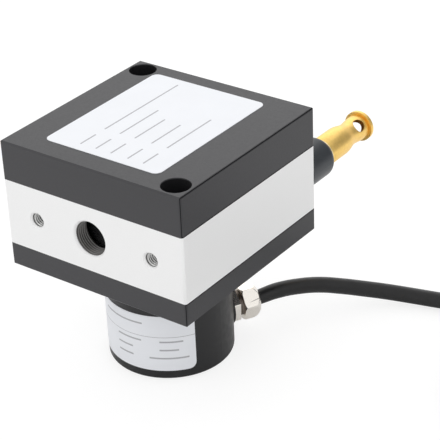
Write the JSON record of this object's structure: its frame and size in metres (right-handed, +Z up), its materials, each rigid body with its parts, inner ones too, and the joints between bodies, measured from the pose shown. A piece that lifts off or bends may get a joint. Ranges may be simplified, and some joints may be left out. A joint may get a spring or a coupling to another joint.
{
  "type": "draw wire encoder",
  "caption": "Square draw wire encoder with a sprung wire drum, a side wire outlet and clip, and a round rotary encoder with a cable gland below.",
  "frame": {"origin": "centre of the encoder's round end face, on the drum's axis, on the surface it stands on", "axes": "+Z up along the drum's axis, +Y the way the measuring wire is pulled out, +X the side of the drum that the wire leaves"},
  "size_m": [0.1766, 0.094, 0.0706],
  "materials": {
    "black_anodised": "satin black anodised",
    "silver_anodised": "fine matt silver anodised",
    "black_steel": "black oxide",
    "label_foil": "smooth printed foil, left bare",
    "outlet_black": "turned black plastic",
    "brass": "polished turned brass",
    "nickel": "bright nickel plate",
    "ceramic": "glazed ceramic",
    "spring_steel": "blued strip",
    "bearing_steel": "ground and polished",
    "machined_steel": "turned",
    "wire_steel": "stranded stainless wire",
    "drum_aluminium": "turned",
    "encoder_black": "satin black anodised",
    "board_green": "solder mask",
    "sensor_black": "moulded",
    "rubber_black": "smooth rubber",
    "cable_sheath": "satin cable sheath",
    "core_insulation": "coloured core insulation",
    "tie_black": "woven tie"
  },
  "bodies": {
    "housing": {"top_cover": "black_anodised", "main_body": "silver_anodised", "bottom_cover": "black_anodised", "long_cover_screws": "black_steel", "short_cover_screws": "black_steel", "face_label": "label_foil", "outlet_nose": "outlet_black", "guide_eyelet": "ceramic", "power_spring": "spring_steel", "spring_plate": "machined_steel", "upper_bearing_race": "bearing_steel", "upper_bearing_balls": "bearing_steel", "lower_bearing_race": "bearing_steel", "lower_bearing_balls": "bearing_steel", "encoder_flange": "encoder_black", "encoder_housing": "encoder_black", "encoder_label": "label_foil", "encoder_screws": "black_steel", "encoder_bearing_races": "bearing_steel", "encoder_bearing_balls": "bearing_steel", "encoder_board": "board_green", "board_posts": "brass", "optical_sensor": "sensor_black", "light_source": "sensor_black", "cable_cores": "core_insulation", "gland_washer": "rubber_black", "gland_body": "nickel", "gland_seal": "rubber_black", "gland_nut": "nickel", "cable": "cable_sheath", "cable_coil": "cable_sheath", "cable_tie": "tie_black", "cable_tail": "cable_sheath", "cable_leads": "core_insulation"},
    "rotor": {"drum_shaft": "machined_steel", "wire_drum": "drum_aluminium", "wound_wire": "wire_steel", "drum_screws": "black_steel", "spring_arbor": "machined_steel", "shaft_clip": "spring_steel", "shaft_grub_screws": "black_steel", "upper_bearing_ring": "bearing_steel", "lower_bearing_ring": "bearing_steel", "encoder_bearing_rings": "bearing_steel", "encoder_shaft": "machined_steel", "disc_hub": "brass", "code_disc": "machined_steel"},
    "wire_end": {"measuring_wire": "wire_steel", "wire_ferrule": "machined_steel"},
    "clip": {"clip_bush": "brass", "end_clip": "brass"}
  },
  "joints": [
    {"name": "drum_turn", "type": "hinge", "parent": "housing", "child": "rotor", "pos_m": [0, 0, 0.04925], "axis": [0, 0, 1], "range_deg": [0, 7200], "stiffness_Nm_per_rad": 0.0004, "springref_deg": -14323.94},
    {"name": "wire_pull", "type": "slide", "parent": "housing", "child": "wire_end", "axis": [0, 1, 0], "range_m": [0, 3], "deforming": ["measuring_wire"]},
    {"name": "clip_swivel", "type": "hinge", "parent": "wire_end", "child": "clip", "pos_m": [0.02387, 0.049, 0.04925], "axis": [0, 1, 0], "continuous": true}
  ],
  "couplings": [
    {"joint": "wire_pull", "follows": "drum_turn", "m_per_rad": 0.023873}
  ]
}
